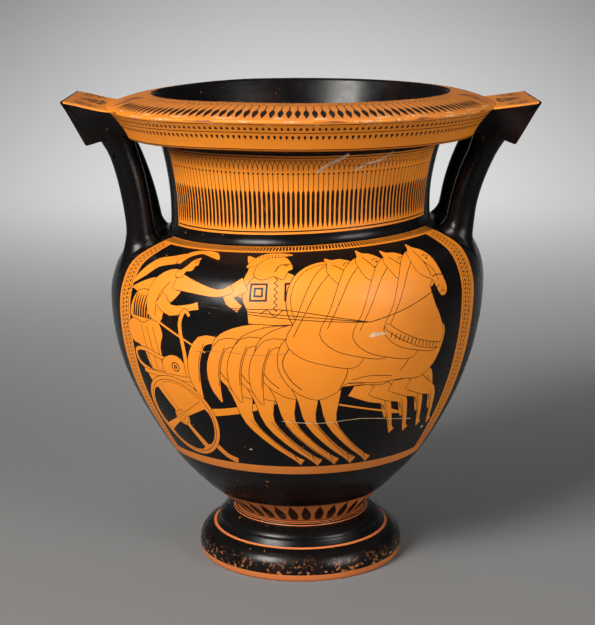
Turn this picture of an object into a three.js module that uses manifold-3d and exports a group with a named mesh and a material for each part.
// A Greek column-krater: a wide-mouthed terracotta bowl for mixing wine and water.
// It is thrown on the wheel in sections (foot, bowl, neck and rim), its two handles are
// luted on, and it is fired as one piece, so the whole vessel is one solid.
// Millimetres, +Z up. The origin is on the floor under the centre of the foot, and the
// handles lie along X.
import * as THREE from "three";
import { mergeVertices } from "three/addons/utils/BufferGeometryUtils.js";
import Module from "manifold-3d";

// Driving dimensions
const HEIGHT = 421; // floor to the ridge round the mouth
const FOOT_RADIUS = 91;
const BELLY_RADIUS = 165.7;
const NECK_RADIUS = 114.2; // at its narrowest
const RIM_RADIUS = 170;
const MOUTH_RADIUS = 130; // at the ridge round the mouth
const WALL = 7.5;
const SEGMENTS = 60; // facets round the vessel

// Foot: a low torus, a stepped quarter-round on top of it, then a thin fillet under the bowl
const TORUS = { r: 92.8, z: 8 }; // where the torus is widest
const GROOVE = { r: 79.8, z: 26 }; // between the torus and the quarter-round
const STEP = { r: 77.6, topR: 74.6, z: 31.5 }; // the nearly upright side of the quarter-round
const FILLET = { r: 61.5, z: 40.5, high: 2.2 };
const RESTING_WIDTH = 17; // the ring that stands on the floor
const UNDER_FOOT = 42; // how high the hollow under the foot rises
const FLOOR_THICKNESS = 13;

// Bowl
const BOWL_START = { r: 57.5, z: 44 };
const BELLY_HEIGHT = 246;
const SHOULDER_END = { r: 115.4, z: 304.6 };

// Rim
const LIP = { r: 153.4, z: 385.7 }; // the lower edge of the overhanging rim
const RIM_EDGE = HEIGHT - 11.7; // height of its outer edge
const UNDER_RIM = { r: 124, z: 380 };

// The soft clay settled before firing: the bowl and neck lean to -X, the shoulder dips
// there, and the rim sags between the mouth and that side's handle
const BOWL_LEAN = 3;
const NECK_LEAN = 0.3;
const SHOULDER_DIP = 0.044; // fall per millimetre towards -X
const RIM_SAG = 2.6;

// Handles: two columns each, under a thick plate that runs out from the rim
const PLATE_END = { x: 203, z: 415.6 };
const PLATE_TIP = { x: 182.5, z: 379 };
const PLATE_HALF_WIDTH = 52;
const COLUMN_RADIUS = 11.7;
const COLUMN_Y = PLATE_HALF_WIDTH - COLUMN_RADIUS - 0.4;
const COLUMN_FOOT = { x: 137.8, z: 268 };
const COLUMN_TOP_Z = 392;
const COLUMN_SIDES = 12;
const COLUMN_STEPS = 8;
const TWIST = 4.6; // how far the -X handle's columns lean apart at their tops, one out and one in

const wasm = await Module();
wasm.setup();

// A closed three.js geometry as a manifold-3d solid
function solidOf(geometry) {
  const bare = geometry.clone();
  for (const name of ["normal", "uv"]) bare.deleteAttribute(name);
  const merged = mergeVertices(bare, 1e-4);
  return new wasm.Manifold(
    new wasm.Mesh({
      numProp: 3,
      vertProperties: new Float32Array(merged.attributes.position.array),
      triVerts: new Uint32Array(merged.index.array),
    }),
  );
}

function geometryOf(solid) {
  const mesh = solid.getMesh();
  const geometry = new THREE.BufferGeometry();
  geometry.setAttribute("position", new THREE.BufferAttribute(new Float32Array(mesh.vertProperties), 3));
  geometry.setIndex(new THREE.BufferAttribute(new Uint32Array(mesh.triVerts), 1));
  geometry.computeVertexNormals();
  return geometry;
}

// Moves each vertex of a geometry by a function of its place
function reshape(geometry, move) {
  const places = geometry.attributes.position;
  const place = new THREE.Vector3();
  for (let i = 0; i < places.count; i++) {
    place.fromBufferAttribute(places, i);
    move(place);
    places.setXYZ(i, place.x, place.y, place.z);
  }
  return geometry;
}

const { lerp, smoothstep } = THREE.MathUtils;
const at = (r, z) => new THREE.Vector2(r, z);
const curveThrough = (...pairs) => new THREE.SplineCurve(pairs.map(([r, z]) => at(r, z)));

// The hollow under the foot and the ring that it stands on, from the axis outwards
function underside() {
  const inner = FOOT_RADIUS - RESTING_WIDTH;
  const hollow = curveThrough(
    [0, UNDER_FOOT],
    [inner * 0.42, UNDER_FOOT - 2.5],
    [inner * 0.72, UNDER_FOOT * 0.66],
    [inner * 0.9, UNDER_FOOT * 0.26],
    [inner, 0],
  );
  return [...hollow.getPoints(4), at(FOOT_RADIUS, 0)];
}

// The foot's mouldings, from the resting edge up to the bowl
function foot() {
  const torus = new THREE.EllipseCurve(
    GROOVE.r, TORUS.z, TORUS.r - GROOVE.r, GROOVE.z - TORUS.z, 0, Math.PI / 2);
  const quarterRound = new THREE.EllipseCurve(
    FILLET.r, STEP.z, STEP.topR - FILLET.r, FILLET.z - STEP.z, 0, Math.PI / 2);
  return [
    ...torus.getPoints(5),
    at(STEP.r, GROOVE.z + 0.3),
    ...quarterRound.getPoints(4),
    at(FILLET.r, FILLET.z + FILLET.high),
    at(FILLET.r - 2.5, FILLET.z + FILLET.high + 0.3),
  ];
}

// The outside of the bowl from the foot to the neck: an egg shape with a flat shoulder
function bowl() {
  const side = curveThrough(
    [BOWL_START.r, BOWL_START.z],
    [72, 59],
    [89, 75],
    [113, 102],
    [135.6, 139],
    [152.4, 176],
    [162.2, 212],
    [BELLY_RADIUS, BELLY_HEIGHT],
    [163.2, 268],
    [153.4, 287],
    [134, 298.4],
    [SHOULDER_END.r, SHOULDER_END.z],
  );
  return side.getPoints(15);
}

// The neck, slightly waisted, the underside, slanting face and top of the rim, and the lid
// of clay across the mouth that the inside is then hollowed through
function neckAndRim() {
  const neck = curveThrough(
    [NECK_RADIUS + 0.4, 306],
    [NECK_RADIUS, 321],
    [NECK_RADIUS + 0.9, 338],
    [NECK_RADIUS + 4, 358],
    [NECK_RADIUS + 7.4, 373],
    [UNDER_RIM.r, UNDER_RIM.z],
    [UNDER_RIM.r + 5, 384.4],
    [UNDER_RIM.r + 14, 385.4],
  );
  const face = new THREE.QuadraticBezierCurve(at(LIP.r, LIP.z), at(160.6, 398.4), at(RIM_RADIUS, RIM_EDGE));
  const top = curveThrough(
    [RIM_RADIUS - 1.3, RIM_EDGE + 1.6],
    [158, HEIGHT - 5.6],
    [145, HEIGHT - 2],
    [MOUTH_RADIUS + 2, HEIGHT - 0.3],
  );
  return [
    ...neck.getPoints(7),
    at(LIP.r - 1, LIP.z - 0.6),
    ...face.getPoints(2),
    ...top.getPoints(3),
    at(MOUTH_RADIUS, HEIGHT),
    at(0, HEIGHT),
  ];
}

// The inside, from above the mouth down to the floor of the bowl
function inside() {
  const above = 10;
  const line = curveThrough(
    [MOUTH_RADIUS - 1.5, HEIGHT],
    [121.5, 399],
    [113.5, 375],
    [NECK_RADIUS - WALL, 340],
    [NECK_RADIUS - WALL, 312],
    [113, 297],
    [138, 287.5],
    [154, 267],
    [BELLY_RADIUS - WALL, BELLY_HEIGHT - 4],
    [153, 208],
    [140, 168],
    [117, 126],
    [88, 89],
    [58, 65.5],
    [28, UNDER_FOOT + FLOOR_THICKNESS + 2],
    [0, UNDER_FOOT + FLOOR_THICKNESS],
  );
  return [at(0, HEIGHT + above), at(MOUTH_RADIUS, HEIGHT + above), ...line.getPoints(15)];
}

// How the soft clay settled: the foot stays true, and the belly and shoulder move most
function settle(place) {
  const upBowl = smoothstep(place.z, 46, 68);
  const overBowl = smoothstep(place.z, 285, 312);
  const nearRim = smoothstep(place.z, 360, 388);
  const dip = SHOULDER_DIP * (smoothstep(place.z, 110, 250) - smoothstep(place.z, 306, 385));
  const sag = RIM_SAG * nearRim * (smoothstep(-place.x, 40, 150) - smoothstep(-place.x, 165, 200));
  place.z += dip * place.x - sag;
  place.x -= lerp(lerp(BOWL_LEAN * upBowl, NECK_LEAN, overBowl), 0, nearRim);
}

// A closed profile, listed from the bottom up, turned round the axis
function turned(profile) {
  const round = new THREE.LatheGeometry(profile, SEGMENTS);
  return solidOf(round.rotateX(Math.PI / 2)); // the lathe turns about Y
}

// A handle plate, as a side view in X and Z carried along Y. Its end slants like the rim's
// face, and its inner end runs into the rim.
function plate() {
  const chamfer = 1;
  const side = new THREE.Shape();
  side.moveTo(150, 409);
  side.quadraticCurveTo(176, 411, PLATE_END.x - 2, PLATE_END.z);
  side.lineTo(PLATE_END.x, PLATE_END.z - 2.2);
  side.lineTo(PLATE_TIP.x + 0.8, PLATE_TIP.z + 1);
  side.lineTo(PLATE_TIP.x - 0.8, PLATE_TIP.z);
  side.quadraticCurveTo(PLATE_TIP.x - 8, PLATE_TIP.z + 2.5, 168, 384);
  side.lineTo(148, 388);
  side.closePath();
  const slab = new THREE.ExtrudeGeometry(side, {
    depth: 2 * (PLATE_HALF_WIDTH - chamfer),
    curveSegments: 4,
    bevelThickness: chamfer,
    bevelSize: chamfer,
    bevelOffset: -chamfer,
    bevelSegments: 1,
  });
  return solidOf(slab.rotateX(Math.PI / 2).translate(0, PLATE_HALF_WIDTH - chamfer, 0));
}

// A column: a round bar that leans outwards, more steeply towards its top, and is thicker
// where it is luted to the shoulder and to the plate
function column(y, extraLean) {
  const middle = (z) => {
    const rise = Math.max(z - 305, 0);
    return COLUMN_FOOT.x + 0.1 * rise + 0.0025 * rise ** 2 + extraLean * smoothstep(z, 300, COLUMN_TOP_Z);
  };
  const points = Array.from({ length: COLUMN_STEPS + 1 }, (_, i) => {
    const z = lerp(COLUMN_FOOT.z, COLUMN_TOP_Z, i / COLUMN_STEPS);
    return new THREE.Vector3(middle(z), 0, z);
  });
  const round = new THREE.Shape().absarc(0, 0, COLUMN_RADIUS, 0, 2 * Math.PI);
  const bar = new THREE.ExtrudeGeometry(round, {
    curveSegments: COLUMN_SIDES / 2,
    steps: COLUMN_STEPS,
    bevelEnabled: false,
    extrudePath: new THREE.CatmullRomCurve3(points),
  });
  return solidOf(reshape(bar, (place) => {
    const low = 1 - smoothstep(place.z, 292, 318);
    const high = smoothstep(place.z, 366, 386);
    place.x = middle(place.z) + (place.x - middle(place.z)) * (1 + 0.26 * low + 0.12 * high);
    place.y = y + place.y * (1 + 0.2 * low);
  }));
}

function handle(twist) {
  return plate().add(column(COLUMN_Y, twist)).add(column(-COLUMN_Y, -twist));
}

const glazedTerracotta = new THREE.MeshStandardMaterial({ color: 0x17110e, roughness: 0.32, metalness: 0 });

// The whole vessel: the turned form and the two handles, hollowed out together
const outside = turned([...underside(), ...foot(), ...bowl(), ...neckAndRim()]);
const hollow = turned(inside().reverse());
const handles = handle(0).add(handle(TWIST).mirror([1, 0, 0]));
const fired = outside.add(handles).subtract(hollow);

const krater = new THREE.Mesh(reshape(geometryOf(fired), settle), glazedTerracotta);
krater.name = "krater";

const part = new THREE.Group();
part.add(krater);
export default part;
